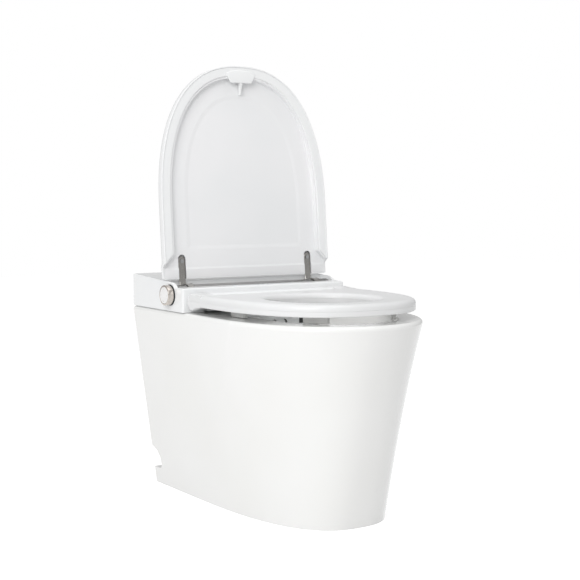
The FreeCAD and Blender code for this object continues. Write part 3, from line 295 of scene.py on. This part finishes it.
def raise_lid(piece):
    """Turn a piece modelled on the closed lid to the open lid's place."""
    clear_selection()
    piece.select_set(True)
    bpy.context.view_layer.objects.active = piece
    bpy.ops.object.mode_set(mode="EDIT")
    bpy.ops.mesh.select_all(action="SELECT")
    bpy.ops.transform.rotate(value=math.radians(LID_OPEN), orient_axis="X",
                             center_override=[c * MM for c in HINGE])
    bpy.ops.object.mode_set(mode="OBJECT")


# ---- lid --------------------------------------------------------------------------------------
HINGE = (0, 150, 434)
LID_OPEN = 95
LID_RIM = 441
LID_TOP = 467
LID_HALF_WIDTH = 207.5
LID_REAR = 118
LID_BEND = -31                # where the straight side ends
LID_TIP = -338
LID_SQUARENESS = 2.38
LID_CORNER = 5
STRAP_X = 160
MITRE_START = 66              # where the tray's border starts to narrow
RISE = 12.5                   # of the rim near the hinge, from RISE_START backwards
RISE_START = 84
RISE_LENGTH = 8.5
BORDER_BELOW = 443.5          # faces of the tray lower than this are its border
LID_SIDE = (104, 96, 92.5, 88, 84, 79, 74.5, 70, 66, 58, 24)


def lid_plan(inset):
    """The lid's outline, inset, with its side points at the same places however deep the inset."""
    corner = max(LID_CORNER - inset, 0.8)
    edge = LID_REAR - inset - corner
    stations = tuple(max((edge - y) / (edge - LID_BEND), 0.004 * (i + 1)) for i, y in enumerate(LID_SIDE))
    return d_outline(LID_HALF_WIDTH - inset, LID_REAR - inset, LID_BEND, LID_TIP + inset,
                     LID_SQUARENESS, corner, stations)


def tray_plan(inset):
    """As the lid's plan, with the raised border cut away diagonally towards the rear corners."""
    plan = []
    for x, y in lid_plan(inset):
        freed = max(inset - max(y - MITRE_START, 0), min(inset, 4.4 + inset / 30))
        wide = LID_HALF_WIDTH - freed
        at_side = abs(x) > LID_HALF_WIDTH - inset - 1 and y > MITRE_START
        plan.append((math.copysign(wide, x), y) if at_side else (x, y))
    return plan


def lid_low(y):
    """Height of the closed lid's rim, which lifts near the hinge to pass over the seat unit."""
    return LID_RIM + RISE * min(max((y - RISE_START) / RISE_LENGTH, 0), 1)


def lid_high(y):
    """Height of the closed lid's top, which falls a little towards its rear edge."""
    return LID_TOP - 4 * min(max((y - 92) / 26, 0), 1)


def lid_cover():
    """Outer moulding: crowned top, a broad round to the side walls, thin rim."""
    inside = LID_TOP - 3
    section = rounded([(75, LID_TOP, 0), (0, LID_TOP, 14), (0, LID_RIM, 0.9), (3, LID_RIM, 0.9),
                       (3, inside, 11), (40, inside, 0)])
    rings = []
    for inset, z in section:
        share = (z - LID_RIM) / (LID_TOP - LID_RIM)
        rings.append([(x, y, lid_low(y) + share * (lid_high(y) - lid_low(y))) for x, y in lid_plan(inset)])
    cover = loft("lid_cover", rings)
    for side in (-1, 1):
        boolean(cover, strap_passage(side), "DIFFERENCE")
    raise_lid(cover)
    settle(cover, "lid", "white_abs", "lid_shell")


def strap_passage(side):
    """Open slot with a round inner end, for the strap's tongue."""
    half, end, rear = 9, 75, 125
    ring = [(side * STRAP_X + half * math.cos(math.pi * (1 + i / 12)),
             end + half * math.sin(math.pi * (1 + i / 12))) for i in range(13)]
    ring += [(side * STRAP_X + half, rear), (side * STRAP_X - half, rear)]
    return loft("strap_passage", [[(x, y, z) for x, y in ring] for z in (436, 459)])


def lid_tray():
    """Inner moulding: flat raised border, a short wall down to the field, a shallow step in the field."""
    back = rounded([(45, 457.5, 0), (25.5, 457.5, 1.2), (25.5, 444.5, 0.8), (3.15, 444.5, 0)])
    face = rounded([(3.15, 442.2, 0), (20.5, 442.2, 0.9), (24.3, 455, 1.2), (62, 455, 6), (70, 456, 6),
                    (95, 456, 0)])
    rings = [[(x, y, min(max(z, lid_low(y) + z - LID_RIM), 457.5)) for x, y in tray_plan(inset)]
             for inset, z in back]
    rings += [[(x, y, max(z, lid_low(y) + 0.1 * (z - LID_RIM))) for x, y in tray_plan(inset)]
              for inset, z in face]
    tray = loft("lid_tray", rings, smooth=22)
    for side in (-1, 1):
        boolean(tray, strap_passage(side), "DIFFERENCE", smooth=22)
    settle(tray, "lid", "tray_abs", "lid_liner")
    # The border faces take the lighter gloss ABS; the darker field beside them is partly painted shade of
    # its recess.
    tray.data.materials.append(materials["white_abs"])
    for polygon in tray.data.polygons:
        polygon.material_index = int(polygon.center.z < BORDER_BELOW * MM)
    raise_lid(tray)


def lid_finger_tab():
    """Boat-shaped finger tab under the tip, on a tapered rib."""
    outline = [(38, -322), (27, -303), (24, -301.5), (-24, -301.5), (-27, -303), (-38, -322), (-24, -327.5),
               (0, -330), (24, -327.5)]
    middle = (0, -315)
    rings = []
    for shrink, z in ((3, 445), (0, 444.2), (0, 442), (1.0, 441.2), (2.5, 441)):
        rings.append([(x * (1 - shrink / 38), middle[1] + (y - middle[1]) * (1 - shrink / 15), z)
                      for x, y in outline])
    tab = loft("lid_finger_tab", rings)
    rib = loft("rib", [[(-3.2, -303, z), (3.2, -303, z), (0.5, -277, z + 6), (-0.5, -277, z + 6)]
                       for z in (442, 449)])
    for vertex in rib.data.vertices:
        vertex.co.z = min(vertex.co.z, 454.9 * MM)
    boolean(tab, rib, "UNION")
    raise_lid(tab)
    settle(tab, "lid", "white_abs", "lid_grip_tab")


# ---- seat ring --------------------------------------------------------------------------------
RING_CENTRE_Y = -111
RING_SPLIT = 426
RING_HALF_WIDTH = 195
RING_REAR = 54
RING_BEND = -5                # where the straight side ends
RING_TIP = -291
RING_SQUARENESS = 2.5
HOLE_HALF_WIDTH = 112
HOLE_HALF_LENGTH = 111
HOLE_SQUARENESS = 2.2
EAR = (76, 424)               # the ring's hinge axis, and its ear's radius
EAR_RADIUS = 17.4


def ring_plan(inset):
    return d_outline(RING_HALF_WIDTH - inset, RING_REAR - inset, RING_BEND, RING_TIP + inset,
                     RING_SQUARENESS, max(9 - inset, 1.5))


def hole_plan(grow):
    """Oval opening, with its points on the same rays from the centre as the outline's."""
    points = []
    for x, y in ring_plan(0):
        away = Vector((x, y - RING_CENTRE_Y))
        wide, deep = away.x / (HOLE_HALF_WIDTH + grow), away.y / (HOLE_HALF_LENGTH + grow)
        reach = (abs(wide) ** HOLE_SQUARENESS + abs(deep) ** HOLE_SQUARENESS) ** (-1 / HOLE_SQUARENESS)
        points.append((away.x * reach, RING_CENTRE_Y + away.y * reach))
    return points


def ring_body():
    """Heated ring: soft outer edge, dished top, and a raised lip and channel round the hole beneath."""
    outside = rounded([(26, 438, 0), (14, 438.9, 12), (0, 438.9, 9), (0, 415.1, 3), (4, 415.1, 0)])
    outside += rounded([(4.6, 415.3, 0), (5.4, 416.3, 0.3), (12, 416.3, 0.6), (13.2, 415.2, 0.4),
                        (20, 415.2, 0)])
    inside = rounded([(19, 415.2, 0), (17, 418.6, 1.2), (9.5, 418.6, 1.2), (7.5, 415.1, 0.8), (0, 415.1, 3),
                      (0, 437.2, 10), (20, 437.6, 0)])
    rings = [[(x, y, z) for x, y in ring_plan(inset)] for inset, z in outside]
    rings += [[(x, y, z) for x, y in hole_plan(grow)] for grow, z in inside]
    return loft("ring", rings, closed=True, smooth=40)


def ring_ear(side):
    """Rounded hinge ear at the ring's rear corner, run out into the ring's side."""
    outline = [(40, 438.6), (62, 440.2)]
    outline += arc(EAR, EAR_RADIUS, range(100, -101, -10))
    outline += [(58, 411.5), (40, 415.4)]
    middle = Vector((68, 426))
    rings = []
    for x, shrink in ((158, 2), (158.4, 0.8), (159.5, 0), (191.5, 0), (193.6, 0.7), (194.7, 2.2),
                      (RING_HALF_WIDTH, 4.2)):
        ring = []
        for y, z in outline:
            away = Vector((y, z)) - middle
            near = min(max((y - 40) / 18, 0), 1)
            place = middle + away * (1 - shrink * near / away.length)
            ring.append((side * x, place.x, place.y))
        rings.append(ring)
    return loft("ear", rings)


def half_ring(name, whole, above, node):
    """Cut a copy of the ring at its parting line and keep one half."""
    piece = whole.copy()
    piece.data = whole.data.copy()
    piece.name = name
    bpy.context.collection.objects.link(piece)
    clear_selection()
    piece.select_set(True)
    bpy.context.view_layer.objects.active = piece
    bpy.ops.object.mode_set(mode="EDIT")
    bpy.ops.mesh.select_all(action="SELECT")
    level = RING_SPLIT + (0.1 if above else -0.1)
    bpy.ops.mesh.bisect(plane_co=(0, 0, level * MM), plane_no=(0, 0, 1), use_fill=True,
                        clear_inner=above, clear_outer=not above)
    bpy.ops.object.mode_set(mode="OBJECT")
    smooth_edges(piece, 40)
    settle(piece, "seat", "seat_pp", node)


def seat_ring():
    """The ring with its two ears, cut at the parting line into its two shells."""
    whole = ring_body()
    for side in (-1, 1):
        boolean(whole, ring_ear(side), "UNION", smooth=40)
    half_ring("ring_top", whole, True, "seat_top_shell")
    half_ring("ring_underside", whole, False, "seat_bottom_shell")
    bpy.data.objects.remove(whole, do_unlink=True)


# ---- dial -------------------------------------------------------------------------------------
def turned(name, section, sides=72, smooth=30):
    """Turn a section of (x, radius) points about the hinge axis."""
    rings = [[(x, HINGE[1] + radius * math.cos(2 * math.pi * i / sides),
               HINGE[2] + radius * math.sin(2 * math.pi * i / sides)) for i in range(sides)]
             for x, radius in section]
    return loft(name, rings, smooth=smooth)


def dial():
    """Anodised rim, and a glossy white push cap marked with plain dots, with room to be pressed."""
    rim = rounded([(-205, 4, 0), (-205, 20.4, 0.5), (-207.2, 21, 0), (-217.6, 21, 1.1), (-218, 17.7, 0.3),
                   (-210, 17.7, 0.4), (-210, 4, 0)], steps=3)
    ring = turned("dial_rim", rim)
    settle(ring, "knob", "knob_metal", "knob_ring")
    face = rounded([(-213.4, 3, 0), (-213.4, 17.4, 0.2), (-218.6, 17.4, 1.5), (-218.2, 10, 6),
                    (-218.0, 3, 0)])
    cap = turned("dial_cap", face)
    settle(cap, "knob_button", "cap_gloss", "knob_cap")
    for index in range(12):
        dial_dot(index)


def dial_dot(index):
    """One of the printed dots round the cap, larger at the quarters."""
    turn = math.radians(30 * index)
    radius = 0.95 if index % 3 == 0 else 0.5
    clear_selection()
    bpy.ops.mesh.primitive_cylinder_add(vertices=20, radius=radius * MM, depth=0.3 * MM)
    dot = bpy.context.object
    dot.name = "dial_dot_%d" % (index + 1)
    bpy.ops.object.mode_set(mode="EDIT")
    bpy.ops.mesh.bevel(offset=0.08 * MM, segments=1)
    bpy.ops.transform.rotate(value=math.pi / 2, orient_axis="Y", center_override=(0, 0, 0))
    bpy.ops.transform.translate(value=(-218.3 * MM, (HINGE[1] + 12.6 * math.cos(turn)) * MM,
                                       (HINGE[2] + 12.6 * math.sin(turn)) * MM))
    bpy.ops.object.mode_set(mode="OBJECT")
    settle(dot, "knob_button", "mark_grey")


# ---- straps -----------------------------------------------------------------------------------
STRAP_HALF_WIDTH = 7.45
STRAP_BEND_RADIUS = 21.3      # round the tube
STRAP_HEIGHT = 457.25         # along the closed lid
STRAP_END = 77


def strap_ring(side, place, along, half_width, half_depth=1.2, ease=0.5):
    """Section of the strap across its path: a flat bar with eased corners."""
    across = Vector((-along[1], along[0]))
    corners = []
    for u, v in ((1, 1), (-1, 1), (-1, -1), (1, -1)):
        wide, deep = u * half_width, v * half_depth
        inner = [(wide - u * ease, deep), (wide, deep - v * ease)]
        corners += inner if u == v else inner[::-1]
    return [(side * STRAP_X + wide, place[0] + across.x * deep, place[1] + across.y * deep)
            for wide, deep in corners]


def lid_straps():
    """Pressed strap: round the tube, out through the trough's mouth, and up the lid in its slot."""
    path = arc(HINGE[1:], STRAP_BEND_RADIUS, range(-92, -237, -8))
    path += [(134.5, 453.6), (129.5, 455.4), (125.5, 456.7), (121.5, 457.2), (116, STRAP_HEIGHT),
             (90, STRAP_HEIGHT), (STRAP_END, STRAP_HEIGHT)]
    tip = arc((0, STRAP_END), STRAP_HALF_WIDTH, (-20, -40, -60, -75, -84))
    straps = []
    for side in (-1, 1):
        rings = []
        for index, place in enumerate(path):
            before, after = path[max(index - 1, 0)], path[min(index + 1, len(path) - 1)]
            along = (Vector(after) - Vector(before)).normalized()
            rings.append(strap_ring(side, place, along, STRAP_HALF_WIDTH))
        rings += [strap_ring(side, (y, STRAP_HEIGHT), (-1, 0), half, ease=min(0.5, half / 2))
                  for half, y in tip]
        straps.append(loft("lid_straps", rings, smooth=50))
    clear_selection()
    for strap in straps:
        strap.select_set(True)
    bpy.context.view_layer.objects.active = straps[0]
    bpy.ops.object.join()
    raise_lid(straps[0])
    settle(straps[0], "lid", "satin_steel", "lid_brackets")


# ---- hinge tube -------------------------------------------------------------------------------
def hinge_tube():
    """Chromed cover tube with rolled ends and a recessed disc round each stub."""
    half = rounded([(0, 17.5, 0), (-186, 17.5, 0), (-186, 8.1, 0.2), (-191.2, 8.1, 0.3), (-191.2, 14, 0.4),
                    (-190.2, 15.2, 0.6), (-190.2, 18, 0.4), (-192, 18.6, 0.6), (-192, 19.95, 0.9),
                    (0, 19.95, 0)], steps=3)
    left = half[1:-1]
    right = [(-x, radius) for x, radius in reversed(left)]
    section = left + right
    rings = [[(x, HINGE[1] + radius * math.cos(2 * math.pi * i / 96),
               HINGE[2] + radius * math.sin(2 * math.pi * i / 96)) for i in range(96)]
             for x, radius in section]
    tube = loft("hinge_cover_tube", rings, closed=True, smooth=30)
    settle(tube, "lid", "chrome_tube", "hinge_tube")


# ---- camera, floor and light ------------------------------------------------------------------
def make_camera():
    data = bpy.data.cameras.new("view")
    data.lens = 76.6
    data.clip_end = 50
    camera = bpy.data.objects.new("view", data)
    bpy.context.collection.objects.link(camera)
    camera.location = (-1.4068, -2.1171, 0.6437)
    camera.rotation_euler = (math.radians(85.54), 0, math.radians(-33.53))
    bpy.context.scene.camera = camera


def make_floor():
    """Pale floor, seen as white where nothing shades it."""
    bpy.ops.mesh.primitive_plane_add(size=14, location=(0, 0, 0))
    floor = bpy.context.object
    floor.name = "studio_floor"
    material, tree = blank_material("studio_floor")
    path = add_node(tree, "ShaderNodeLightPath")
    matte = add_node(tree, "ShaderNodeBsdfDiffuse", {"Color": linear("E9E9E9")})
    white = add_node(tree, "ShaderNodeEmission", {"Color": (1, 1, 1, 1), "Strength": 1.0})
    glossy = add_node(tree, "ShaderNodeMixShader", {},
                      {0: (path, "Is Glossy Ray"), 1: (matte, 0), 2: (white, 0)})
    lifted = add_node(tree, "ShaderNodeEmission", {"Color": (1, 1, 1, 1), "Strength": 0.55})
    both = add_node(tree, "ShaderNodeAddShader", {}, {0: (matte, 0), 1: (lifted, 0)})
    mix = add_node(tree, "ShaderNodeMixShader", {},
                   {0: (path, "Is Camera Ray"), 1: (glossy, 0), 2: (both, 0)})
    finish_material(tree, mix)
    floor.data.materials.append(material)


def make_world():
    world = bpy.data.worlds.new("studio")
    bpy.context.scene.world = world
    world.use_nodes = True
    tree = world.node_tree
    tree.nodes.clear()
    path = add_node(tree, "ShaderNodeLightPath")
    seen = add_node(tree, "ShaderNodeMath", {"operation": "MAXIMUM"},
                    {0: (path, "Is Camera Ray"), 1: (path, "Is Transmission Ray")})
    fill = add_node(tree, "ShaderNodeBackground", {"Color": (1, 1, 1, 1), "Strength": 0.56})
    white = add_node(tree, "ShaderNodeBackground", {"Color": (1, 1, 1, 1), "Strength": 1.0})
    mix = add_node(tree, "ShaderNodeMixShader", {}, {0: (seen, 0), 1: (fill, 0), 2: (white, 0)})
    add_node(tree, "ShaderNodeOutputWorld", {}, {"Surface": (mix, 0)})


def add_light(name, place, target, size, watts):
    data = bpy.data.lights.new(name, "AREA")
    data.shape = "SQUARE"
    data.size = size
    data.energy = watts
    light = bpy.data.objects.new(name, data)
    bpy.context.collection.objects.link(light)
    light.location = place
    aim = Vector(target) - Vector(place)
    light.rotation_euler = aim.to_track_quat("-Z", "Y").to_euler()


def make_lights():
    add_light("key", (-2.6, -1.75, 2.2), (0, 0, 0.4), 2.2, 60)
    add_light("top", (0.2, -0.4, 3.0), (0, 0, 0.4), 2.0, 14)


materials = make_materials()
make_camera()
make_floor()
make_world()
make_lights()
dress_cad_nodes()
lid_cover()
lid_tray()
lid_finger_tab()
lid_straps()
hinge_tube()
seat_ring()
dial()
bpy.context.scene.view_settings.view_transform = "Standard"
